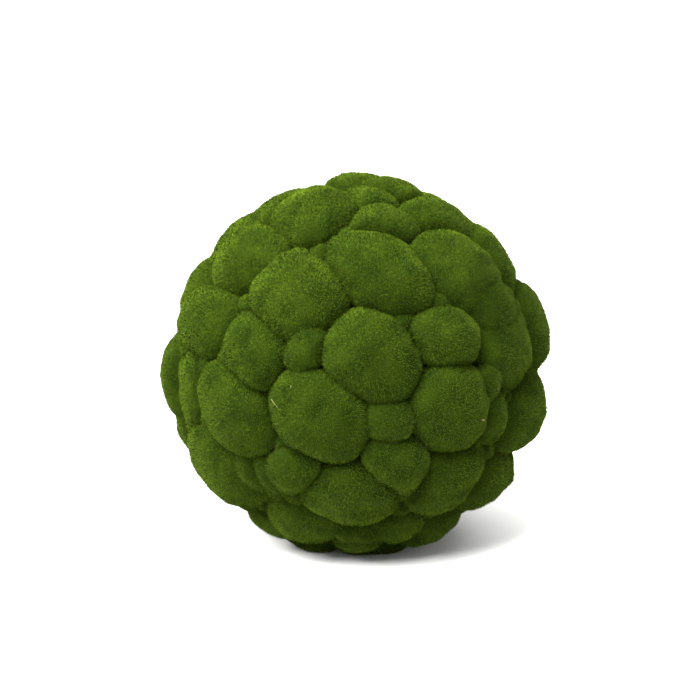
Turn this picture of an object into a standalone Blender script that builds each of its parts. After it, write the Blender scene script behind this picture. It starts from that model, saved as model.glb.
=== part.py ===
"""A ball of cushion moss, in metres with +Z up, resting on a flat cut at Z = 0.

The ball has no core. It is sixty separate cushions of moss, packed side by side like stones in a wall.
Each one grows out from a root near the middle of the ball, widens along straight walls where it presses on
its neighbours, and ends in a domed top. Where cushions meet there is a crease, and where three of them meet,
a pit.

Every cushion is placed by the longitude and latitude of its top, seen from the middle of the ball.
Longitude 0 faces -Y, the side that shows, and grows towards +X. Latitude 90 is straight up. Sizes across the
ball are degrees of arc: one degree is 2.6 mm at the surface.
"""

from collections import namedtuple

import bmesh
import bpy
import numpy as np
from mathutils import Matrix, Vector

# Driving dimensions
BALL_RADIUS = 0.150  # from the middle to the tip of the pile on an ordinary cushion
SEAT_CUT = 0.014  # how much of the ball is missing at the bottom, where it rests
ROOT_RADIUS = 0.010  # how near the middle the roots come
CREASE_DEPTH = 0.013  # from an ordinary cushion's top down to the crease around it
WALL_CLEARANCE = 0.0002  # each cushion keeps this far from the plane it shares with a neighbour

ORDINARY_REACH = np.radians(13)  # half the width of an ordinary cushion
OUTLINE_POWER = 2.4  # 2 is an ellipse, more is squarer
SPREAD = 1.3  # how far past its own outline a cushion grows where no neighbour stops it
CORNER_SOFTNESS = np.radians(1.8)  # how much the corners of a pressed outline are rounded off
DOME_POWER = 2.6  # 2 is a round dome, more is a flatter top with steeper sides
NEIGHBOUR_ANGLE = np.radians(60)  # cushions further apart than this never touch
MOST_SKEW = np.radians(30)  # how far a shared wall turns from facing straight at both cushions
GAP_OF_NO_SKEW = np.radians(8)  # outlines this far apart share a wall that isn't turned
WALL_KEEPS_OFF = 0.15  # a wall is at least this share of the way from either cushion's middle to the other's
LEAST_CREASE = 0.55  # a narrow cushion's crease is shallower, down to this share of CREASE_DEPTH
MOST_CREASE = 1.1  # a wide cushion's crease is deeper, up to this share of CREASE_DEPTH

MERIDIANS = 18  # points around a cushion
RINGS = (0.42, 0.74, 0.93, 1.0)  # rings of points from the top to the rim, as shares of the way
CUSHION_COUNT = 60

MIDDLE = Vector((0, 0, BALL_RADIUS - SEAT_CUT))

# longitude, latitude, half length, half width and turn of the length from east towards north, in degrees;
# rise is how far the top stands above BALL_RADIUS, in millimetres
Cushion = namedtuple("Cushion", "name longitude latitude half_length half_width turn rise")

SHOWN_SIDE = [
    Cushion("crown_far", 170, 86, 9.5, 10, 0, 0),
    Cushion("crown_right", 60, 78, 9, 7.5, -60, 2),
    Cushion("crown_near", 17, 74, 10, 7, -20, -3),
    Cushion("shoulder_back_left", -82, 66, 12, 12, 0, -3),
    Cushion("shoulder_left", -31, 65, 16, 15, 0, 5),
    Cushion("shoulder_middle", 17, 61, 13, 8.5, -15, -2),
    Cushion("shoulder_right", 59, 60, 14, 9, -40, 0),
    Cushion("brow_left", -53, 44, 16, 13, 35, 1),
    Cushion("brow_middle", -22.5, 34, 18.5, 15.5, -22, 2),
    Cushion("brow_right", 9.5, 43, 20, 14.5, -38, 2),
    Cushion("cheek_right", 46, 41, 18, 14, -50, 2),
    Cushion("rim_right_high", 80, 42, 14, 8, 90, -1),
    Cushion("side_left", -59, 21, 15, 12, 10, 2),
    Cushion("face_left", -34, 14, 13, 10, -65, 0),
    Cushion("face_middle", 5, 15.5, 18, 14, -35, 2),
    Cushion("face_right", 29, 19, 12, 9.5, -20, -1),
    Cushion("side_right", 57, 13, 15, 13, 90, -1),
    Cushion("rim_right", 85, 16, 15, 9, 90, 3),
    Cushion("rim_left_high", -85, 28, 14, 11, 90, -5),
    Cushion("rim_left", -82, -1, 14, 9, 90, 1),
    Cushion("strip_left", -62, -2, 12, 6.5, 90, -3),
    Cushion("flank_left", -39, -5, 18, 14, -40, 2),
    Cushion("belly_left", -12, -4, 19, 14.5, -30, 2),
    Cushion("belly_right", 30, -2, 15, 13.5, -60, 2),
    Cushion("rim_right_low", 69, -12, 15, 13, 0, 3),
    Cushion("low_middle_right", 13, -20, 14, 9.5, -50, -1),
    Cushion("low_right", 34, -29, 15, 13, 10, 0),
    Cushion("low_rim_right", 60, -34, 14, 11, 0, 2),
    Cushion("low_left", -53, -27, 18, 13, -40, 3),
    Cushion("low_small_left", -21, -21, 9, 8, 0, -1),
    Cushion("low_middle", -2, -31, 16, 13, -10, 1),
    Cushion("foot_left", -25, -48, 14, 10, -20, -1),
    Cushion("foot_rim_left", -48, -54, 11, 9, 0, -3),
    Cushion("foot_middle", 3, -57, 9, 8, 0, -1),
    Cushion("foot_right", 20, -51, 10, 8, 0, -2),
    Cushion("foot_rim_right", 40, -54, 12, 9, 20, 0),
]

# The ball stands on these: one in the middle of the flat cut and a ring around it
BASE_RING_COUNT = 5
BASE_RING_START = 20
BASE_RING_LONGITUDES = [BASE_RING_START + 360 / BASE_RING_COUNT * k for k in range(BASE_RING_COUNT)]
BASE = [Cushion("base_middle", 0, -90, 9, 9, 0, 1)]
BASE += [
    Cushion(f"base_{number}", longitude, -73, 11.5, 10.5, 0, 1)
    for number, longitude in enumerate(BASE_RING_LONGITUDES, 1)
]

# Tufts too small to be pieces of their own here. Their neighbours still leave them room.
SMALL_TUFTS = [
    Cushion("tuft_wedge", -15.5, 17, 5.5, 4.5, 60, -5),
    Cushion("tuft_square", 10, -6, 6.5, 5.5, 0, -4),
    Cushion("tuft_crescent", 50, -7, 8.5, 4.5, 80, -3),
    Cushion("tuft_sliver", -34, -27, 7, 5, -60, -4),
]

# The far side is everything further than SHOWN_ANGLE from straight in front that no cushion above covers.
# It is shared out evenly by far_side(). The weights, in degrees, make some cushions wider than others.
SHOWN_LATITUDE = 12
SHOWN_ANGLE = np.radians(80)
FAR_SIDE_WEIGHTS = np.radians([2.0, -1.5, 0.5, 1.5, -2.0, 0.0, 1.0, -1.0])
FAR_SIDE_RISES = (-3, -5, -4, -2, -6)
FAR_SIDE_ROUNDS = 40
SPIRAL_POINTS = 6000
ELLIPSE_FROM_SPREAD = 1.85  # half an ellipse's axis over the standard deviation along it, less a crease

MOSS_COLOURS = {  # linear RGB
    "moss_bright": (0.150, 0.240, 0.030),
    "moss_green": (0.100, 0.180, 0.022),
    "moss_deep": (0.070, 0.135, 0.018),
}
MOSS_ROUGHNESS = 0.95


def direction(longitude, latitude):
    """Unit vector to a longitude and latitude in degrees."""
    east, north = np.radians(longitude), np.radians(latitude)
    return np.array([np.sin(east) * np.cos(north), -np.cos(east) * np.cos(north), np.sin(north)])


def unit(vector):
    return vector / np.linalg.norm(vector)


class Shape:
    """A cushion's directions: out along its middle, along its length, along its width; and its half sizes."""

    def __init__(self, cushion):
        self.name = cushion.name
        self.out = direction(cushion.longitude, cushion.latitude)
        east = direction(cushion.longitude + 90, 0)
        north = np.cross(self.out, east)
        turn = np.radians(cushion.turn)
        self.along = np.cos(turn) * east + np.sin(turn) * north
        self.across = np.cross(self.out, self.along)
        self.half = np.radians([cushion.half_length, cushion.half_width])
        self.top = BALL_RADIUS + cushion.rise / 1000
        self.walls = []

    def reach(self, heading):
        """Angle from the middle to the cushion's own outline, for headings at right angles to `out`."""
        lengthwise = np.abs(heading @ self.along) / self.half[0]
        widthwise = np.abs(heading @ self.across) / self.half[1]
        return (lengthwise**OUTLINE_POWER + widthwise**OUTLINE_POWER) ** (-1 / OUTLINE_POWER)

    def outline_normal(self, heading, at):
        """Which way the outline faces on this heading, along the ball's surface at the point `at`."""
        normal = self.along * (heading @ self.along) / self.half[0] ** 2
        normal = normal + self.across * (heading @ self.across) / self.half[1] ** 2
        return unit(normal - at * (at @ normal))


def press(first, second):
    """Give two cushions a shared wall: a plane through the ball's middle, halfway between their outlines.

    The wall faces along the arc from one to the other. Where the outlines touch, it turns with them by as
    much as MOST_SKEW, and it turns less the wider the gap between them, down to none at GAP_OF_NO_SKEW.
    """
    apart = np.arccos(np.clip(first.out @ second.out, -1, 1))
    if apart > NEIGHBOUR_ANGLE:
        return
    towards = unit(second.out - first.out * (first.out @ second.out))
    back = unit(first.out - second.out * (first.out @ second.out))
    reaches = first.reach(towards), second.reach(back)
    meeting = (apart + reaches[0] - reaches[1]) / 2
    meeting = np.clip(meeting, WALL_KEEPS_OFF * apart, (1 - WALL_KEEPS_OFF) * apart)
    at = first.out * np.cos(meeting) + towards * np.sin(meeting)
    ahead = towards * np.cos(meeting) - first.out * np.sin(meeting)
    sideways = np.cross(at, ahead)
    leaning = first.outline_normal(towards, at) - second.outline_normal(back, at)
    skew = np.arctan2(leaning @ sideways, leaning @ ahead)
    gap = (apart - sum(reaches)) / GAP_OF_NO_SKEW
    skew = np.clip(skew, -MOST_SKEW, MOST_SKEW) * np.clip(1 - gap, 0, 1)
    facing = ahead * np.cos(skew) + sideways * np.sin(skew)
    first.walls.append(-facing)
    second.walls.append(facing)


def rim_angles(shape, headings, rim_radius):
    """How far the cushion reaches on each heading before a wall or its own outline stops it.

    A wall with inward normal n stops the heading h at the angle a where n.(out cos a + h sin a) equals the
    clearance over the radius. The stops are joined by a soft minimum, which rounds the corners between walls.
    """
    stops = [shape.reach(headings) * SPREAD]
    for normal in shape.walls:
        across, ahead = normal @ shape.out, headings @ normal
        steepness = np.hypot(across, ahead)
        stops.append(np.arctan2(ahead, across) + np.arccos(WALL_CLEARANCE / rim_radius / steepness))
    stops = np.array(stops)
    nearest = stops.min(axis=0)
    return nearest - CORNER_SOFTNESS * np.log(np.exp((nearest - stops) / CORNER_SOFTNESS).sum(axis=0))


def cushion_points(shape):
    """Points of a cushion from the middle of the ball: its top, its rings from top to rim, and its root."""
    turns = np.linspace(0, 2 * np.pi, MERIDIANS, endpoint=False)[:, None]
    headings = np.cos(turns) * shape.along + np.sin(turns) * shape.across
    rim = rim_angles(shape, headings, shape.top - CREASE_DEPTH)
    crease = CREASE_DEPTH * np.clip(rim.mean() / ORDINARY_REACH, LEAST_CREASE, MOST_CREASE)
    rings = []
    for share in RINGS:
        angles = (rim * share)[:, None]
        radius = shape.top - crease * (1 - np.sqrt(1 - share**DOME_POWER))
        rings.append(radius * (np.cos(angles) * shape.out + np.sin(angles) * headings))
    return shape.top * shape.out, rings, ROOT_RADIUS * shape.out


def cushion_mesh(shape, placed):
    """A closed mesh of one cushion in its own axes, cut off flat where it would pass below Z = 0."""
    top, rings, root = cushion_points(shape)
    bm = bmesh.new()
    loops = [[bm.verts.new(Vector(point) + MIDDLE) for point in ring] for ring in rings]
    top, root = (bm.verts.new(Vector(point) + MIDDLE) for point in (top, root))
    for k in range(MERIDIANS):
        after = (k + 1) % MERIDIANS
        bm.faces.new((top, loops[0][k], loops[0][after]))
        for inner, outer in zip(loops, loops[1:]):
            bm.faces.new((inner[k], outer[k], outer[after], inner[after]))
        bm.faces.new((loops[-1][after], loops[-1][k], root))
    bmesh.ops.triangulate(bm, faces=bm.faces)
    if min(vertex.co.z for vertex in bm.verts) < 0:
        everything = list(bm.verts) + list(bm.edges) + list(bm.faces)
        cut = bmesh.ops.bisect_plane(
            bm, geom=everything, plane_co=(0, 0, 0), plane_no=(0, 0, 1), clear_inner=True
        )
        edges = [piece for piece in cut["geom_cut"] if isinstance(piece, bmesh.types.BMEdge)]
        bmesh.ops.edgeloop_fill(bm, edges=edges)
    bmesh.ops.recalc_face_normals(bm, faces=bm.faces)
    bmesh.ops.transform(bm, matrix=placed.inverted(), verts=bm.verts)
    mesh = bpy.data.meshes.new(shape.name)
    bm.to_mesh(mesh)
    bm.free()
    return mesh


def far_side(shown, count):
    """Share out the far side's directions among `count` more cushions, and fit an ellipse to each share.

    Each new cushion takes the directions nearest to it, less its weight, and moves to their mean. This is
    done FAR_SIDE_ROUNDS times.
    """
    step = np.arange(SPIRAL_POINTS) + 0.5
    latitudes = np.degrees(np.arcsin(1 - 2 * step / SPIRAL_POINTS))
    golden_angle = 180 * (3 - np.sqrt(5))
    spiral = direction(step * golden_angle, latitudes).T
    spiral = spiral[np.arccos(spiral @ direction(0, SHOWN_LATITUDE)) > SHOWN_ANGLE]
    for shape in shown:
        angles = np.arccos(np.clip(spiral @ shape.out, -1, 1))
        headings = spiral - np.outer(spiral @ shape.out, shape.out)
        headings /= np.linalg.norm(headings, axis=1, keepdims=True)
        spiral = spiral[angles > shape.reach(headings)]
    middles = spiral[np.linspace(0, len(spiral) - 1, count).astype(int)]
    weights = np.resize(FAR_SIDE_WEIGHTS, count)
    for _ in range(FAR_SIDE_ROUNDS):
        owners = np.argmin(np.arccos(np.clip(spiral @ middles.T, -1, 1)) - weights, axis=1)
        middles = np.array([unit(spiral[owners == k].mean(axis=0)) for k in range(count)])

    cushions = []
    for k, out in enumerate(middles):
        longitude, latitude = np.degrees(np.arctan2(out[0], -out[1])), np.degrees(np.arcsin(out[2]))
        east = direction(longitude + 90, 0)
        flat = spiral[owners == k] @ np.stack([east, np.cross(out, east)], axis=1)
        spreads, axes = np.linalg.eigh(np.cov(flat.T))
        half_width, half_length = np.degrees(ELLIPSE_FROM_SPREAD * np.sqrt(spreads))
        turn = np.degrees(np.arctan2(axes[1, 1], axes[0, 1]))
        rise = FAR_SIDE_RISES[k % len(FAR_SIDE_RISES)]
        name = f"back_{k + 1:02d}"
        cushions.append(Cushion(name, longitude, latitude, half_length, half_width, turn, rise))
    return cushions


def moss_material(name):
    """Cushion moss: matt, not metallic, a green that the caller picks by name."""
    material = bpy.data.materials.new(name)
    material.use_nodes = True
    shader = material.node_tree.nodes["Principled BSDF"]
    shader.inputs["Base Color"].default_value = (*MOSS_COLOURS[name], 1)
    shader.inputs["Roughness"].default_value = MOSS_ROUGHNESS
    shader.inputs["Metallic"].default_value = 0
    return material


def build():
    for obj in list(bpy.data.objects):
        bpy.data.objects.remove(obj)

    shapes = [Shape(cushion) for cushion in SHOWN_SIDE + BASE]
    spacers = [Shape(cushion) for cushion in SMALL_TUFTS]
    shapes += [Shape(cushion) for cushion in far_side(shapes + spacers, CUSHION_COUNT - len(shapes))]
    everything = shapes + spacers
    for k, first in enumerate(everything):
        for second in everything[k + 1 :]:
            press(first, second)

    ball = bpy.data.objects.new("moss_ball", None)
    ball.location = MIDDLE
    bpy.context.scene.collection.objects.link(ball)
    materials = [moss_material(name) for name in MOSS_COLOURS]
    for k, shape in enumerate(shapes):
        axes = Matrix([shape.along, shape.across, shape.out]).transposed().to_4x4()
        placed = Matrix.Translation(MIDDLE + Vector(shape.out * ROOT_RADIUS)) @ axes
        cushion = bpy.data.objects.new(f"moss_{shape.name}", cushion_mesh(shape, placed))
        bpy.context.scene.collection.objects.link(cushion)
        cushion.parent = ball
        cushion.matrix_parent_inverse = Matrix.Identity(4)
        cushion.matrix_basis = Matrix.Translation(-MIDDLE) @ placed
        cushion.data.materials.append(materials[k % len(materials)])
        cushion.data.shade_smooth()


build()
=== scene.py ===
# %% [markdown]
# # A ball of cushion moss
#
# Cushion moss grows as thousands of short upright shoots packed so tightly that they make a velvety dome.
# This ball is many such cushions pressed together. The solid model already holds each cushion as a smooth
# domed wedge that reaches to the tips of its shoots. This lesson turns each wedge into living moss: a
# slightly smaller, lumpy bed, and on it a pile of single shoots whose tips reach back out to the solid's
# surface.

# %% Load the solid model
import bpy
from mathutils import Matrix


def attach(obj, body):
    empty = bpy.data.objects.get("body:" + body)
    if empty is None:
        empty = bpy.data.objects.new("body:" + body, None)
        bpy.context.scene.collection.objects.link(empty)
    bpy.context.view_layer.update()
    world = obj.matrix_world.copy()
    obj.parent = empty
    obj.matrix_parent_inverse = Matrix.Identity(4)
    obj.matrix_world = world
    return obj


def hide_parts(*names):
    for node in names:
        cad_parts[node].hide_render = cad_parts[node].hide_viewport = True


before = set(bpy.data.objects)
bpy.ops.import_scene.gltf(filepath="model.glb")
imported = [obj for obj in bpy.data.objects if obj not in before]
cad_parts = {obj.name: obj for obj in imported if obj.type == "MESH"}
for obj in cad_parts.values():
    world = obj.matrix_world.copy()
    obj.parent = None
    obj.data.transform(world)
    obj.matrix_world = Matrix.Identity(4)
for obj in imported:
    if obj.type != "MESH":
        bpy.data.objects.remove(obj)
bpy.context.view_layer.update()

from types import SimpleNamespace

import bpy
import numpy as np
from mathutils import Vector

# %% [markdown]
# ## Directions on a ball
#
# Everything here is placed by longitude and latitude, as on a globe, because a ball has no better rows
# and columns. Longitude 0 faces the viewer (-Y), longitude 90 faces +X, and latitude 90 is straight up.
# All sizes are metres, and sizes across the ball are angles: one degree is 2.6 mm at the surface.

# %% Directions
MM_PER_M = 1000
BALL_RADIUS = 0.150
SEAT_CUT = 0.014  # the ball has this much cut off flat, where it rests
MIDDLE = np.array([0, 0, BALL_RADIUS - SEAT_CUT])


def direction(longitude, latitude):
    """Unit vector to a longitude and latitude in degrees: (sin lon cos lat, -cos lon cos lat, sin lat)."""
    east, north = np.radians(longitude), np.radians(latitude)
    return np.array([np.sin(east) * np.cos(north), -np.cos(east) * np.cos(north), np.sin(north)])


def unit(vectors):
    """Vectors of length one: each vector over its own length."""
    return vectors / np.linalg.norm(vectors, axis=-1, keepdims=True)


print("the ball's middle is", MIDDLE * MM_PER_M, "mm")

# %% [markdown]
# ## Reading a cushion back from its solid
#
# A cushion could be drawn again from a table of sizes, but then two tables would have to agree. Instead
# each cushion is measured from its solid. The point nearest the ball's middle is its root, and the way to
# the root is the cushion's axis. Its other points lie on eighteen meridians. The one furthest from the
# axis on each is the rim, where the cushion presses on its neighbours, because its sides run straight in
# from there. The rim gives the outline: how many radians the cushion reaches, for each turn around it.

# %% Measure the cushions
CREASE_DEPTH = 0.013  # from an ordinary cushion's top down to the crease around it
LEAST_CREASE = 0.55  # a narrow cushion's crease is shallower, down to this share of CREASE_DEPTH
MOST_CREASE = 1.1  # a wide cushion's crease is deeper, up to this share of CREASE_DEPTH
ORDINARY_REACH = np.radians(13)
ROOT_LIMIT = 0.02  # anything nearer the middle than this is a root
MERIDIANS = 18
NEAR_MERIDIAN = 0.1  # in meridians
ON_AXIS = np.radians(0.5)
DECIMALS = 7  # corners that agree to a tenth of a micrometre are one corner
BASE_TOP = 0.151  # how high a cushion that the flat cut has beheaded once stood
KEPT_WAVES = (1, 1, 1, 1, 0.85, 0.6, 0.3)  # how much is kept of each slow wave round an outline
BULGE = np.radians(0.7)  # how far an outline is grown past its solid
STEEPER = 1.6  # a dome's foot is this much deeper than the crease, because neighbours meet above their feet


def rounded(outline):
    """An outline with soft corners: a Fourier transform takes it apart into waves, and slow ones are kept.

    It is also grown by BULGE, so that the higher of two cushions laps over and the lower one tucks under it.
    It never grows by more, or two cushions with a long straight wall between them would run together.
    """
    waves = np.fft.rfft(outline)
    kept = np.zeros(len(waves))
    kept[: len(KEPT_WAVES)] = KEPT_WAVES
    return np.minimum(np.fft.irfft(waves * kept, len(outline)), outline) + BULGE


def crease_depth(reach):
    """Depth of the crease round a cushion with this mean reach: in proportion to it, within limits."""
    return CREASE_DEPTH * np.clip(reach / ORDINARY_REACH, LEAST_CREASE, MOST_CREASE)


def measure(node):
    """A cushion's axis, the two directions across it, its outline, top height and crease depth."""
    flat = np.empty(len(node.data.vertices) * 3, np.float32)
    node.data.vertices.foreach_get("co", flat)
    points = np.unique(np.round(flat.reshape(-1, 3).astype(float), DECIMALS), axis=0) - MIDDLE
    heights = np.linalg.norm(points, axis=1)
    out = unit(points[heights.argmin()])
    points = points[heights > ROOT_LIMIT]
    heights = heights[heights > ROOT_LIMIT]
    angles = np.arccos(np.clip(points @ out / heights, -1, 1))
    furthest = points[angles.argmax()]
    along = unit(furthest - out * (furthest @ out))
    across = np.cross(out, along)
    meridians = np.arctan2(points @ across, points @ along) / (2 * np.pi) * MERIDIANS
    nearest = np.round(meridians)
    close = np.abs(meridians - nearest) < NEAR_MERIDIAN
    outline = np.array([angles[close & (nearest % MERIDIANS == k)].max() for k in range(MERIDIANS)])
    top = heights[angles < ON_AXIS].max() if (angles < ON_AXIS).any() else BASE_TOP
    return SimpleNamespace(
        name=node.name, node=node.name, out=out, along=along, across=across, outline=rounded(outline),
        top=top, drop=STEEPER * crease_depth(outline.mean()), slot=node.data.materials[0].name,
    )


cushions = [measure(node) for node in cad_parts.values()]
reaches = np.degrees([cushion.outline.mean() for cushion in cushions])
print("mean reach of a cushion:", reaches.min().round(1), "to", reaches.max().round(1), "degrees")
print("heights of their tops:", sorted({round(float(cushion.top) * MM_PER_M) for cushion in cushions}), "mm")
print("slots:", {cushion.slot for cushion in cushions})

# %% [markdown]
# ## Small tufts
#
# Where cushions don't quite meet, small tufts push up between them. They are too small to be solids of
# their own, so they start from a table: longitude, latitude, half length, half width and turn in degrees,
# and how far the top stands above or below the ball in millimetres. Their outline is a superellipse, a
# shape between an ellipse and a rectangle, which suits a tuft squeezed from four sides.

# %% Place the small tufts
OUTLINE_POWER = 2.4  # 2 is an ellipse, more is squarer
TUFT_POINTS = 36
SMALL_TUFTS = {
    "tuft_wedge": (-16, 17, 8, 6, 70, -4.5),
    "tuft_square": (10, -4.5, 7.5, 7, 0, -4),
    "tuft_crescent": (47, -8, 9, 5, 95, -2.5),
    "tuft_side_low": (44, 3, 6.5, 5, 60, -4.5),
    "tuft_sliver": (-30, -25, 8, 4.5, -65, -3.5),
    "tuft_thin_sliver": (-37, -25, 8, 4, -70, -2.5),
    "tuft_saddle": (54, 26.5, 13, 11, -65, -0.5),
    "tuft_flap": (-42, 45, 8, 7, -35, -2),
    "tuft_foot_left": (-4, -50, 5, 4.5, 0, -4),
    "tuft_foot_middle": (3, -49, 5, 4, 0, -3),
    "tuft_foot_right": (11, -50, 5, 4.5, 20, -4),
}


def tuft(name, longitude, latitude, half_length, half_width, turn, rise):
    """A small tuft described as a cushion is: reach = (|cos t / length|^p + |sin t / width|^p)^(-1/p)."""
    out = direction(longitude, latitude)
    east = direction(longitude + 90, 0)
    north = np.cross(out, east)
    turn = np.radians(turn)
    along = np.cos(turn) * east + np.sin(turn) * north
    turns = np.linspace(0, 2 * np.pi, TUFT_POINTS, endpoint=False)
    lengthwise = np.abs(np.cos(turns) / np.radians(half_length))
    widthwise = np.abs(np.sin(turns) / np.radians(half_width))
    outline = (lengthwise**OUTLINE_POWER + widthwise**OUTLINE_POWER) ** (-1 / OUTLINE_POWER)
    return SimpleNamespace(
        name=name, node=None, out=out, along=along, across=np.cross(out, along), outline=outline,
        top=BALL_RADIUS + rise / MM_PER_M, drop=STEEPER * crease_depth(outline.mean()), slot="moss_bright",
    )


tufts = [tuft(name, *numbers) for name, numbers in SMALL_TUFTS.items()]
print("small tufts:", [piece.name for piece in tufts])

# %% [markdown]
# ## Tufts in the pits
#
# Three cushions never close up completely. The pit between them fills with a tuft of younger moss that
# stands lower than they do. There are some eighty pits, so a rule finds them: of all directions, take the
# one furthest outside every outline, put a tuft there that is a little wider than the gap, and go on
# until no gap is left. A spiral of points turned by the golden angle gives directions spread evenly over
# the ball.

# %% Find the pits
SPIRAL_POINTS = 9000
GOLDEN_ANGLE = 180 * (3 - np.sqrt(5))
LEAST_GAP = np.radians(0.45)
PIT_MARGIN = np.radians(3.6)  # how much wider a tuft is than its gap
PIT_DEPTH = 11  # mm below the ball's radius


def reach_at(piece, turns):
    """The outline between its points: a Catmull-Rom curve through the four nearest, closed all round."""
    count = len(piece.outline)
    place = turns / (2 * np.pi) * count
    first = np.floor(place).astype(int)
    t = place - first
    a, b, c, d = (piece.outline[(first + k) % count] for k in (-1, 0, 1, 2))
    return b + t / 2 * (c - a + t * (2 * a - 5 * b + 4 * c - d + t * (3 * (b - c) + d - a)))


def outside(piece, ways):
    """How many radians each direction is outside a piece's outline, or, if negative, inside it."""
    angles = np.arccos(np.clip(ways @ piece.out, -1, 1))
    turns = np.arctan2(ways @ piece.across, ways @ piece.along)
    return angles - reach_at(piece, turns % (2 * np.pi))


steps = np.arange(SPIRAL_POINTS) + 0.5
latitudes = np.degrees(np.arcsin(1 - 2 * steps / SPIRAL_POINTS))
spiral = direction(steps * GOLDEN_ANGLE, latitudes).T
gaps = np.min([outside(piece, spiral) for piece in cushions + tufts], axis=0)
pits = []
while gaps.max() > LEAST_GAP:
    widest = gaps.argmax()
    way, half = spiral[widest], np.degrees(gaps[widest] + PIT_MARGIN)
    longitude, latitude = np.degrees(np.arctan2(way[0], -way[1])), np.degrees(np.arcsin(way[2]))
    pit = tuft(f"pit_{len(pits) + 1:03d}", longitude, latitude, half, half, 0, -PIT_DEPTH)
    gaps = np.minimum(gaps, outside(pit, spiral))
    pits.append(pit)
print("pits:", len(pits), "widest:", max(np.degrees(pit.outline.max()).round(1) for pit in pits))

# %% [markdown]
# ## The bed under the pile
#
# Shoots grow from a bed of older moss. The bed is the cushion's own dome drawn in by the length of the
# pile. It is made as a grid of rows and columns: rows run from the top down over the dome to the rim and
# then in along the pressed sides, columns go round. The dome's height over its share s of the way to the
# rim is top - drop * (1 - sqrt(1 - s^p)), which is gentle on top and steep at the rim. Rows are spaced by
# the angle whose sine squared is s^p, so that they crowd together where the dome is steep. Each dome ends
# deeper than the crease, so neighbouring domes cross there, as soft cushions do where one laps over the
# next.
#
# A grown dome isn't perfect. Soft noise, the sum of waves running in many directions, lifts and sinks it,
# and folds divide the widest cushions into lobes, as happens where a cushion grew together from several.
# A fold is a line from one longitude and latitude to another, with a depth and a width in millimetres.

# %% Shape the beds
PILE_LENGTH = 0.0020
DOME_POWER = 2.15
GRIDS = {"cushion": (48, 12), "tuft": (24, 7)}  # columns, and rows over the dome
SIDE_HEIGHTS = (0.95, 0.6)  # rows down the pressed sides, as shares of the rim's height
FOOT_HEIGHT = 0.1
SEAT_LIFT = 0.0012  # where the ball rests, the bed is this far above the ground, on crushed pile
TINY = 1e-20  # keeps a vector without length from being divided by nothing
LUMPS = {  # for each layer its height and wavelength in metres, and a seed
    "swellings": (0.0011, 0.042, 1),
    "dents": (0.0006, 0.017, 2),
    "unevenness": (0.00025, 0.007, 3),
}


def soft_noise(points, wavelength, seed, waves=16):
    """Smooth random bumps, mostly from -1 to 1: the sum of cosine waves in random ways / sqrt(waves)."""
    rng = np.random.default_rng(seed)
    ways = unit(rng.normal(size=(waves, 3))) * (2 * np.pi / wavelength)
    phases = rng.uniform(0, 2 * np.pi, waves)
    return np.cos(points @ ways.T + phases).sum(axis=1) / np.sqrt(waves)


def layered(points, layers):
    """The sum of a table's layers: each is a strength times the soft noise that its other numbers give."""
    return sum(strength * soft_noise(points, *noise) for strength, *noise in layers.values())


def dome_height(piece, share):
    """Height of a dome over its share s of the way to the rim: top - drop * (1 - sqrt(1 - s^p))."""
    return piece.top - piece.drop * (1 - np.sqrt(1 - share**DOME_POWER))


def bed_grid(piece):
    """Points of a bed from the ball's middle, in rows by columns: first the dome's rows, then the sides'."""
    columns, rows = GRIDS["cushion" if piece.node else "tuft"]
    turns = np.linspace(0, 2 * np.pi, columns, endpoint=False)
    quarter = np.linspace(0, np.pi / 2, rows + 1)[1:, None]
    share = np.sin(quarter) ** (2 / DOME_POWER)
    reach = reach_at(piece, turns)
    height = dome_height(piece, share) - PILE_LENGTH
    sides = np.array(SIDE_HEIGHTS)[:, None] * height[-1]
    angle = np.vstack([share, 1 + 0 * sides]) * reach
    heading = np.cos(turns)[:, None] * piece.along + np.sin(turns)[:, None] * piece.across
    grid = np.cos(angle)[..., None] * piece.out + np.sin(angle)[..., None] * heading
    return grid * np.vstack([height, sides])[..., None]


FOLDS = {
    "shoulder_left": (-21, 62, -20, 47, 2.8, 3.2),
    "shoulder_left_outer": (-33, 62, -30, 49, 1.8, 3.2),
    "brow_left": (-50, 45, -46, 33, 1.4, 3.5),
    "brow_middle": (-22, 27, -17, 18, 2.6, 3.0),
    "face_middle": (6, 15, 9, 6, 1.0, 5.0),
    "face_right": (17, 18, 26, 14, 2.6, 2.6),
    "side_right": (62, 22, 65, 4, 1.5, 2.4),
    "side_left": (-56, 22, -50, 12, 1.2, 4.0),
    "flank_left": (-37, 8, -33, -5, 1.2, 4.0),
    "belly_left": (-8, -3, -5, -14, 1.3, 5.0),
    "low_left": (-46, -16, -48, -29, 1.6, 3.2),
    "low_right": (19, -27, 30, -18, 2.0, 3.0),
    "low_middle": (2, -24, 4, -36, 1.0, 4.5),
    "hole_right": (53.8, -3, 53.5, -4.5, 8.0, 3.2),
    "back_high_right": (108, 38, 118, 24, 1.8, 3.2),
    "back_right": (146, 8, 154, -8, 1.6, 3.5),
    "back_high": (186, 42, 180, 26, 2.0, 3.2),
    "back_middle": (204, 0, 212, -14, 1.6, 3.0),
    "back_left": (232, 28, 242, 14, 1.8, 3.5),
    "back_low": (160, -34, 174, -42, 1.6, 3.2),
}


def folds(points):
    """How far folds sink a bed: each by depth * exp(-(d / width)^2), with d the distance to its line."""
    ways = unit(points)
    sunk = np.zeros(len(points))
    for start_longitude, start_latitude, end_longitude, end_latitude, depth, width in FOLDS.values():
        start = direction(start_longitude, start_latitude)
        line = direction(end_longitude, end_latitude) - start
        nearest = np.clip((ways - start) @ line / (line @ line), 0, 1)
        distance = np.linalg.norm(ways - start - nearest[:, None] * line, axis=1) * BALL_RADIUS
        sunk += depth / MM_PER_M * np.exp(-((distance / (width / MM_PER_M)) ** 2))
    return sunk


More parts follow.
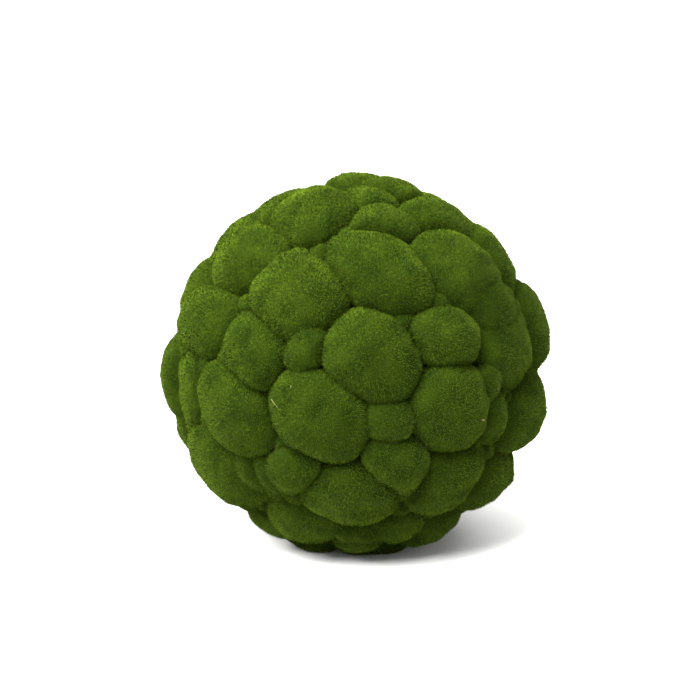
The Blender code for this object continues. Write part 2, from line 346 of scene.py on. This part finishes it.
def lumps(points):
    """How far the bed is lifted, in metres: by all the layers of LUMPS, less the folds."""
    return layered(points, LUMPS) - folds(points)


def bed(piece):
    """The closed bed: its points, its triangles, and for each triangle whether it is on the dome."""
    grid = bed_grid(piece)
    rows, columns = grid.shape[:2]
    top = piece.out * (piece.top - PILE_LENGTH)
    foot = piece.out * (piece.top - piece.drop) * FOOT_HEIGHT
    points = np.vstack([top, grid.reshape(-1, 3), foot])
    points += unit(points) * lumps(points)[:, None] + MIDDLE
    points[:, 2] = np.maximum(points[:, 2], SEAT_LIFT)
    index = 1 + np.arange(rows * columns).reshape(rows, columns)
    after = np.roll(index, -1, axis=1)
    over, under = index[:-1], index[1:]
    over_after, under_after = after[:-1], after[1:]
    last = len(points) - 1
    triangles = np.vstack([
        np.stack([0 * index[0], index[0], after[0]], axis=1),
        np.stack([over, under, under_after], axis=-1).reshape(-1, 3),
        np.stack([over, under_after, over_after], axis=-1).reshape(-1, 3),
        np.stack([index[-1], 0 * index[-1] + last, after[-1]], axis=1),
    ])
    side_points = 1 + (rows - len(SIDE_HEIGHTS)) * columns
    return points, triangles, triangles.max(axis=1) < side_points


def vertex_normals(points, triangles):
    """Normals of a smooth surface: at each vertex the sum of its triangles' normals, weighted by area."""
    a, b, c = (points[triangles[:, k]] for k in range(3))
    facing = np.cross(b - a, c - a)
    total = np.zeros_like(points)
    for corner in range(3):
        for axis in range(3):
            total[:, axis] += np.bincount(triangles[:, corner], facing[:, axis], len(points))
    return unit(total + TINY)


example = bed(cushions[0])
print("a bed:", len(example[0]), "points,", len(example[1]), "triangles")

# %% [markdown]
# ## The pile
#
# Each shoot could be a hair, but hairs don't leave Blender as mesh, and a tube has too many faces to have
# nearly a million of. One narrow triangle is enough: its base edge stands on the bed and its far corner
# is the tip. The leaf tips of real cushion moss are about 0.2 mm apart. These are drawn about three times
# as coarse, so that the whole ball stays under a million triangles.
#
# Shoots don't stand straight. Each leans its own way, and neighbours lean together a little, as grass
# does, because a second, slowly changing noise combs them. Where one cushion laps over another, the
# buried shoots are left out.

# %% Grow the pile
SHOOTS_PER_MM2 = 2.5
SHOOT_WIDTH = 0.00040
LEAN = 0.62  # a shoot's own lean: its sideways part over its part along the bed's normal
COMBED = 0.20  # the sideways part that neighbours share
COMB_WAVELENGTH = 0.035
COMB_SEEDS = (11, 12, 13)
MEAN_RANDOM = 1.3  # about the mean length of a random vector, seen along the normal
LEAN_SHARES = (0.35, 1.0)  # a shoot leans by something between these shares of LEAN
LENGTH_SHARES = (0.7, 1.12)  # the same for its length, over PILE_LENGTH
WIDTH_SHARES = (0.7, 1.3)  # and for its width, over SHOOT_WIDTH
TWIST = 1.1  # how far a blade may be turned about its own direction, in radians
ROOT_DEPTH = 0.0004  # shoots start this far inside the bed
PRESSED_TIP = 0.0002  # crushed shoots under the ball end this far above the ground
BURIED = 0.0018  # a shoot that starts this far inside a neighbour can't be seen
CREASE_REACH = np.radians(1.7)  # how far from a crease its painted shade reaches


def scatter(points, triangles, count, rng):
    """Even random spots on a mesh: a triangle is picked by area, then a spot in it by two random numbers.

    A spot is a + r (b - a) + t (c - a), and where r + t is over one, both are taken from one.
    """
    a, b, c = (points[triangles[:, k]] for k in range(3))
    area = np.linalg.norm(np.cross(b - a, c - a), axis=1) / 2
    total = np.cumsum(area)
    picked = np.searchsorted(total, rng.uniform(0, total[-1], count))
    r, t = rng.uniform(size=(2, count))
    beyond = r + t > 1
    r, t = np.where(beyond, 1 - r, r), np.where(beyond, 1 - t, t)
    return triangles[picked], np.stack([1 - r - t, r, t], axis=1)


def mixed(values, corners, shares):
    """Values of a mesh's points carried to spots inside its triangles."""
    if values.ndim == 1:
        return (values[corners] * shares).sum(axis=1)
    return (values[corners] * shares[..., None]).sum(axis=1)


def comb(points):
    """The direction in which neighbouring shoots lean together: three soft noises as one vector."""
    return np.stack([soft_noise(points, COMB_WAVELENGTH, seed) for seed in COMB_SEEDS], axis=1)


def beside_others(roots, piece):
    """Which roots are well inside another piece's bed, and so grow no shoot, and how much painted shade each
    root gets.

    The painted shade, which darkens shoots near a crease, is exp(-(d / CREASE_REACH)^2), with d the distance
    outside the nearest ungrown outline.
    """
    ways, heights = unit(roots - MIDDLE), np.linalg.norm(roots - MIDDLE, axis=1)
    hidden = np.zeros(len(roots), bool)
    apart = np.full(len(roots), np.pi)
    for other in cushions + tufts + pits:
        if other is piece or piece.out @ other.out < np.cos(piece.outline.max() + other.outline.max()):
            continue
        angles = np.arccos(np.clip(ways @ other.out, -1, 1))
        turns = np.arctan2(ways @ other.across, ways @ other.along) % (2 * np.pi)
        reach = reach_at(other, turns)
        share = angles / reach
        surface = dome_height(other, np.minimum(share, 1)) - PILE_LENGTH + lumps(roots - MIDDLE)
        hidden |= (share < 1) & (heights < surface - BURIED)
        apart = np.minimum(apart, angles - reach)
    return hidden, np.exp(-((np.maximum(apart + BULGE, 0) / CREASE_REACH) ** 2))


def grow(roots, normals, rng):
    """One triangle for each shoot, as three arrays of points: two base corners and a tip.

    heading = unit(normal + lean), with lean made of a random part and the combed part, both at right angles
    to the normal. The base edge is at right angles to the heading and turned at random about it. A blade
    whose back then faces out has its two base corners swapped.
    """
    count = len(roots)
    random = rng.normal(size=(count, 3)) + COMBED / LEAN * comb(roots)
    lean = random - normals * (random * normals).sum(axis=1)[:, None]
    lean *= LEAN * rng.uniform(*LEAN_SHARES, count)[:, None] / MEAN_RANDOM
    heading = unit(normals + lean)
    side = unit(np.cross(heading, normals) + TINY)
    front = np.cross(heading, side)
    twist = rng.uniform(-TWIST, TWIST, count)[:, None]
    edge = np.cos(twist) * side + np.sin(twist) * front
    rise = PILE_LENGTH * rng.uniform(*LENGTH_SHARES, count)[:, None]
    length = rise / (heading * normals).sum(axis=1)[:, None]
    width = SHOOT_WIDTH * rng.uniform(*WIDTH_SHARES, count)[:, None]
    base = roots - normals * ROOT_DEPTH
    blades = np.stack([base - edge * width / 2, base + edge * width / 2, base + heading * length], axis=1)
    facing = np.cross(blades[:, 1] - blades[:, 0], blades[:, 2] - blades[:, 0])
    turned = (facing * normals).sum(axis=1) < 0
    blades[turned] = blades[turned][:, [1, 0, 2]]
    blades[..., 2] = np.maximum(blades[..., 2], PRESSED_TIP)
    return blades


# %% [markdown]
# ## Colour by place in the pile
#
# A shoot is dark at its foot, where light doesn't reach, and yellow-green at its tip. Cushions differ,
# patches of a cushion differ, and so does one shoot from the next. All of this is worked out here and
# kept in the UV map: across it runs the shade from old dark moss to young bright moss, and up it the way
# from foot to tip. Near a crease, and so over most of a small tuft in a pit, shoots climb less far up it,
# so their tips are darker: this is painted shade, colour standing in for the shadow in the crease. The
# bed has a strip of its own at the foot of the chart. A whole cushion can then share one small chart of
# colours, and it looks the same in any program.

# %% Make a moss piece
BED_STRIP = 0.10  # the lowest part of the chart belongs to the bed
CHART_EDGE = 0.02
SHOOT_STRIP = 0.006  # half the width of one shoot on the chart
PAINTED_CREASE_SHADE = 0.44  # painted shade: how much less of the chart a shoot climbs near a crease, so its tip is darker there
PAINTED_SHADE_SHARES = (0.4, 1.3)  # a shoot takes something between these shares of that painted shade
SOFTENED = 0.7  # how much of a shoot's shading comes from the dome it stands on, which makes it velvety
ROUNDED = 0.5  # how much of that comes from the whole ball, because light soaks through the pile
CUSHION_TINT = 0.12  # a whole cushion is up to this much older or younger than the middle shade
OWN_SHADE = 0.14  # how much one shoot differs from the next
MIDDLE_SHADE = 0.5
MOTTLING = {  # for each layer its strength, its wavelength in metres, a seed and the number of waves
    "patches": (0.05, 0.050, 21, 16),
    "spots": (0.04, 0.016, 22, 16),
    "tight bunches": (0.17, 0.0026, 25, 24),
    "loose bunches": (0.07, 0.0052, 26, 24),
}
BED_SHADES = {"patches": (0.5, 0.020, 23)}
BED_CLIMBS = {"patches": (0.4, 0.011, 24)}


def shades(points, rng, tint):
    """0 for old dark moss to 1 for young bright moss: a cushion's tint, its mottling, each shoot's own."""
    own = OWN_SHADE * rng.normal(size=len(points))
    return np.clip(MIDDLE_SHADE + tint + layered(points, MOTTLING) + own, CHART_EDGE, 1 - CHART_EDGE)


def moss(piece, rng):
    """A bed and its pile as arrays: points, triangles, normals, and each corner's place on the chart."""
    points, triangles, on_dome = bed(piece)
    normals = vertex_normals(points, triangles)
    dome = triangles[on_dome]
    a, b, c = (points[dome[:, k]] for k in range(3))
    area_mm2 = np.linalg.norm(np.cross(b - a, c - a), axis=1).sum() / 2 * MM_PER_M**2
    corners, inside = scatter(points, dome, int(area_mm2 * SHOOTS_PER_MM2), rng)
    roots = mixed(points, corners, inside)
    hidden, painted_shade = beside_others(roots, piece)
    seen = ~hidden
    roots, painted_shade = roots[seen], painted_shade[seen]
    upright = unit(mixed(normals, corners, inside))[seen]
    blades = grow(roots, upright, rng)
    count = len(roots)

    shade = shades(roots, rng, rng.uniform(-CUSHION_TINT, CUSHION_TINT))
    foot_shade = np.stack([shade - SHOOT_STRIP, shade + SHOOT_STRIP, shade], axis=1)
    foot_climb = np.full(count, BED_STRIP + CHART_EDGE)
    # Painted shade: near a crease the tip climbs less far up the chart, so the shoot is darker where the
    # crease is in shadow.
    tip_climb = (1 - CHART_EDGE) * (1 - PAINTED_CREASE_SHADE * painted_shade * rng.uniform(*PAINTED_SHADE_SHARES, count))
    climb = np.stack([foot_climb, foot_climb, tip_climb], axis=1)
    bed_shade = np.clip(MIDDLE_SHADE + layered(points, BED_SHADES), CHART_EDGE, 1 - CHART_EDGE)
    bed_way = (MIDDLE_SHADE + layered(points, BED_CLIMBS)).clip(0, 1)
    bed_climb = CHART_EDGE + (BED_STRIP - 2 * CHART_EDGE) * bed_way
    chart = np.vstack([
        np.stack([bed_shade[triangles], bed_climb[triangles]], axis=-1).reshape(-1, 2),
        np.stack([foot_shade, climb], axis=-1).reshape(-1, 2),
    ])
    facing = np.cross(blades[:, 1] - blades[:, 0], blades[:, 2] - blades[:, 0])
    dome_way = unit((1 - ROUNDED) * upright + ROUNDED * unit(roots - MIDDLE))
    soft = unit(SOFTENED * dome_way + (1 - SOFTENED) * unit(facing))
    return (
        np.vstack([points, blades.reshape(-1, 3)]),
        np.vstack([triangles, len(points) + np.arange(3 * count).reshape(-1, 3)]),
        np.vstack([normals, np.repeat(soft, 3, axis=0)]),
        chart,
    )


def moss_piece(piece, beside, number):
    """One mesh of a cushion and of the pit tufts beside it, with its chart of colours."""
    rng = np.random.default_rng(number)
    grown = [moss(each, rng) for each in [piece, *beside]]
    starts = np.cumsum([0] + [len(points) for points, *_ in grown])
    points = np.vstack([each[0] for each in grown])
    faces = np.vstack([each[1] + start for each, start in zip(grown, starts)])
    normals = np.vstack([each[2] for each in grown])
    chart = np.vstack([each[3] for each in grown])
    mesh = bpy.data.meshes.new(piece.name)
    mesh.vertices.add(len(points))
    mesh.vertices.foreach_set("co", points.astype(np.float32).ravel())
    mesh.loops.add(faces.size)
    mesh.loops.foreach_set("vertex_index", faces.astype(np.int32).ravel())
    mesh.polygons.add(len(faces))
    mesh.polygons.foreach_set("loop_start", np.arange(0, faces.size, 3, dtype=np.int32))
    mesh.uv_layers.new(name="OFBake").uv.foreach_set("vector", chart.astype(np.float32).ravel())
    mesh.update(calc_edges=True)
    mesh.shade_smooth()
    mesh.normals_split_custom_set_from_vertices(normals)
    obj = bpy.data.objects.new(piece.name.replace("moss_", "pile_"), mesh)
    bpy.context.scene.collection.objects.link(obj)
    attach(obj, "root")
    if piece.node:
        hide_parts(piece.node)
    return obj


pit_ways = np.array([pit.out for pit in pits])
owners = np.argmin([outside(cushion, pit_ways) for cushion in cushions], axis=0)
pits_of = [[pit for pit, owner in zip(pits, owners) if owner == number] for number in range(len(cushions))]
pits_of += [[] for _ in tufts]
pieces = [moss_piece(piece, pits_of[number], number) for number, piece in enumerate(cushions + tufts)]
sizes = [len(obj.data.polygons) for obj in pieces]
print("pieces:", len(pieces), "triangles:", sum(sizes), "most in one piece:", max(sizes))

# %% [markdown]
# ## Living moss
#
# The leaves of a moss shoot are one cell thick, with no waxy skin, so nothing shines, and light that
# grazes the pile catches the tips and makes a pale bloom along every edge. The shader has that bloom as
# sheen.

# %% Material
MIX_FACTOR, MIX_FIRST, MIX_SECOND, MIX_RESULT = 0, 6, 7, 2  # a Mix node's sockets when it mixes colours


def linear(hex_colour):
    """sRGB hex to linear RGB: c / 12.92 below 0.04045, else ((c + 0.055) / 1.055) ** 2.4."""
    srgb = np.array([int(hex_colour[k : k + 2], 16) / 255 for k in (1, 3, 5)])
    return (*np.where(srgb <= 0.04045, srgb / 12.92, ((srgb + 0.055) / 1.055) ** 2.4), 1)


def add_node(tree, kind, links=(), **settings):
    """Adds a node, sets its properties or, by name, its inputs, and links its inputs from other outputs."""
    node = tree.nodes.new(kind)
    for name, value in settings.items():
        if hasattr(node, name):
            setattr(node, name, value)
        else:
            node.inputs[name.replace("_", " ")].default_value = value
    for name, output in links:
        tree.links.new(output, node.inputs[name])
    return node


def set_ramp(node, stops):
    """Puts colour stops, given as place and hex colour, on a colour ramp."""
    ramp = node.color_ramp
    while len(ramp.elements) < len(stops):
        ramp.elements.new(0.5)
    for element, (place, colour) in zip(ramp.elements, stops):
        element.position = place
        element.color = linear(colour)


def living_moss(name):
    """Cushion moss: matt, dark at the foot of the shoots, yellow-green at the tips, with a pale bloom."""
    material = bpy.data.materials.new(name)
    material.use_nodes = True
    tree = material.node_tree
    shader = tree.nodes["Principled BSDF"]
    chart = add_node(tree, "ShaderNodeUVMap", uv_map="OFBake")
    split = add_node(tree, "ShaderNodeSeparateXYZ", [("Vector", chart.outputs["UV"])])
    old = add_node(tree, "ShaderNodeValToRGB", [("Fac", split.outputs["Y"])])
    set_ramp(old, [(0.0, "#0e1703"), (0.12, "#101b04"), (0.6, "#1c2c05"), (1.0, "#283908")])
    young = add_node(tree, "ShaderNodeValToRGB", [("Fac", split.outputs["Y"])])
    set_ramp(young, [(0.0, "#161f04"), (0.12, "#1b2605"), (0.6, "#38460c"), (1.0, "#526216")])
    mix = add_node(tree, "ShaderNodeMix", data_type="RGBA")
    tree.links.new(split.outputs["X"], mix.inputs[MIX_FACTOR])
    tree.links.new(old.outputs["Color"], mix.inputs[MIX_FIRST])
    tree.links.new(young.outputs["Color"], mix.inputs[MIX_SECOND])
    tree.links.new(mix.outputs[MIX_RESULT], shader.inputs["Base Color"])
    shader.inputs["Roughness"].default_value = 0.9
    shader.inputs["IOR"].default_value = 1.4
    shader.inputs["Specular IOR Level"].default_value = 0.0
    shader.inputs["Sheen Weight"].default_value = 0.11
    shader.inputs["Sheen Roughness"].default_value = 0.45
    shader.inputs["Sheen Tint"].default_value = linear("#a4c45c")
    return material


living = living_moss("living_cushion_moss")
for obj in pieces:
    obj.data.materials.append(living)
print("material:", living.name, "with", len(living.node_tree.nodes), "nodes")

# %% [markdown]
# ## Litter caught in the pile
#
# Nothing that grew outdoors is perfectly clean. A dry grass straw lies across one cushion and a dry bud
# scale is caught on another. Both are tiny closed meshes laid on the highest dome below them. The straw
# is a tube: rings of points round a slightly bowed line, and a chip of it lies near by. The scale is a
# lens, bent like a spoon.

# %% Straw and scale
LITTER_LIFT = 0.0004
STRAW_RINGS, STRAW_SIDES = 9, 6
STRAW_TAPER = 0.6  # a straw's far end is thinner than its near end by this share
SCALE_RINGS, SCALE_SIDES = 7, 10
SCALE_END = 0.12  # a scale's first and last ring are this far from its poles, in radians
SCALE_LIES_ACROSS = (0.45, 0, 0.9)


def surface_point(longitude, latitude):
    """The point on the outermost dome in a direction, just above the tips of the pile."""
    way = direction(longitude, latitude)
    heights = []
    for piece in cushions + tufts:
        angle = np.arccos(way @ piece.out)
        turn = np.arctan2(way @ piece.across, way @ piece.along) % (2 * np.pi)
        share = angle / reach_at(piece, np.array([turn]))[0]
        heights.append(dome_height(piece, share) if share < 1 else 0)
    return way * (max(heights) + LITTER_LIFT) + MIDDLE


def closed_grid(name, grid, material):
    """A closed piece from rows of rings: quads between the rings, and each end ring filled by one face."""
    rings, sides = grid.shape[:2]
    index = np.arange(rings * sides).reshape(rings, sides)
    after = np.roll(index, -1, axis=1)
    quads = np.stack([index[:-1], after[:-1], after[1:], index[1:]], axis=-1).reshape(-1, 4)
    mesh = bpy.data.meshes.new(name)
    ends = [index[0, ::-1].tolist(), index[-1].tolist()]
    mesh.from_pydata(grid.reshape(-1, 3).tolist(), [], quads.tolist() + ends)
    mesh.shade_smooth()
    mesh.materials.append(material)
    obj = bpy.data.objects.new(name, mesh)
    bpy.context.scene.collection.objects.link(obj)
    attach(obj, "root")
    return obj


def straw(name, start, end, radius, bow, material):
    """A tube of shrinking radius along start + (end - start) t, lifted by bow * sin(pi t)."""
    t = np.linspace(0, 1, STRAW_RINGS)[:, None]
    up = unit(start - MIDDLE)
    line = start + (end - start) * t + up * bow * np.sin(np.pi * t)
    side = unit(np.cross(end - start, up))
    turns = np.linspace(0, 2 * np.pi, STRAW_SIDES, endpoint=False)
    ring = np.cos(turns)[:, None] * side + np.sin(turns)[:, None] * up
    return closed_grid(name, line[:, None] + ring * (radius * (1 - STRAW_TAPER * t))[:, None], material)


def scale(name, place, length, width, thickness, curl, material):
    """A lens: rings of radius sin(a) at height cos(a), stretched to size, and bent by curl * x^2."""
    out = unit(place - MIDDLE)
    along = unit(np.cross(out, SCALE_LIES_ACROSS))
    across = np.cross(out, along)
    a = np.linspace(SCALE_END, np.pi - SCALE_END, SCALE_RINGS)[:, None]
    turns = np.linspace(0, 2 * np.pi, SCALE_SIDES, endpoint=False)
    x, y = np.sin(a) * np.cos(turns), np.sin(a) * np.sin(turns)
    z = np.cos(a) * thickness / 2 + curl * x**2
    grid = x[..., None] * along * length / 2 + y[..., None] * across * width / 2 + z[..., None] * out
    return closed_grid(name, (place + grid)[::-1], material)


def dry(name, colour):
    """Dead plant matter: matt and opaque, weathered to a dull straw or tan."""
    material = bpy.data.materials.new(name)
    material.use_nodes = True
    shader = material.node_tree.nodes["Principled BSDF"]
    shader.inputs["Base Color"].default_value = linear(colour)
    shader.inputs["Roughness"].default_value = 0.7
    shader.inputs["IOR"].default_value = 1.45
    return material


weathered, tan = dry("weathered_straw", "#66653c"), dry("dry_bud_scale", "#4a3b1e")
straw(
    "straw", start=surface_point(-24.5, 1.8), end=surface_point(-21.4, -0.2),
    radius=0.00013, bow=0.0005, material=weathered,
)
straw(
    "straw_chip", start=surface_point(-18.1, 6.3), end=surface_point(-18.3, 5.5),
    radius=0.00014, bow=0.0002, material=weathered,
)
scale(
    "bud_scale", place=surface_point(37, -5.1),
    length=0.0034, width=0.0012, thickness=0.0005, curl=0.0006, material=tan,
)
print("litter: a straw, a chip of straw and a bud scale")

# %% [markdown]
# ## Stage, light and camera
#
# Moss swallows most of the light that falls on it, so the light has to be strong, and a floor of white
# paper then turns plain white. A broad window high on the left shapes the cushions, and the ceiling fills
# the shadows. Both are wide, because a small hard light would pick out single shoots and hide the velvet.
# The camera looks slightly down from a little way off, with a long lens, so that the ball stays round.

# %% Stage
FLOOR_HALF = 6.0
WORLD_STRENGTH = 1.2
floor_mesh = bpy.data.meshes.new("floor")
floor_corners = [(FLOOR_HALF * x, FLOOR_HALF * y, 0) for x, y in ((-1, -1), (1, -1), (1, 1), (-1, 1))]
floor_mesh.from_pydata(floor_corners, [], [(0, 1, 2, 3)])
floor = bpy.data.objects.new("floor", floor_mesh)
bpy.context.scene.collection.objects.link(floor)
paper = bpy.data.materials.new("white_paper")
paper.use_nodes = True
paper.node_tree.nodes["Principled BSDF"].inputs["Base Color"].default_value = linear("#c4c4c2")
paper.node_tree.nodes["Principled BSDF"].inputs["Roughness"].default_value = 0.9
floor_mesh.materials.append(paper)

world = bpy.data.worlds.new("studio")
bpy.context.scene.world = world
world.use_nodes = True
world.node_tree.nodes["Background"].inputs["Color"].default_value = linear("#ffffff")
world.node_tree.nodes["Background"].inputs["Strength"].default_value = WORLD_STRENGTH


def soft_light(name, way, width, strength):
    """A broad light from far away in a direction, that covers this many degrees of the sky."""
    data = bpy.data.lights.new(name, "SUN")
    data.angle = np.radians(width)
    data.energy = strength
    light = bpy.data.objects.new(name, data)
    light.rotation_euler = Vector(way).to_track_quat("Z", "Y").to_euler()
    bpy.context.scene.collection.objects.link(light)


soft_light("window", direction(-46, 52), width=50, strength=22.8)
soft_light("ceiling", direction(0, 89), width=80, strength=6.0)

CAMERA_DISTANCE = 1.4
CAMERA_LATITUDE = 12
SENSOR_WIDTH = 36  # mm
LENS = 93.4  # mm
AIM_LEFT, AIM_ABOVE = 0.0043, 0.0117  # how far past the ball's middle the camera looks
camera_data = bpy.data.cameras.new("camera")
camera_data.sensor_width = SENSOR_WIDTH
camera_data.lens = LENS
camera = bpy.data.objects.new("camera", camera_data)
bpy.context.scene.collection.objects.link(camera)
eye = direction(0, CAMERA_LATITUDE)
left = direction(-90, 0)
above = np.cross(left, eye)
camera.location = MIDDLE + left * AIM_LEFT + above * AIM_ABOVE + eye * CAMERA_DISTANCE
camera.rotation_euler = Vector(-eye).to_track_quat("-Z", "Y").to_euler()
bpy.context.scene.camera = camera
bpy.context.scene.view_settings.view_transform = "Standard"
print("the camera stands at", [round(float(value), 3) for value in camera.location], "m")
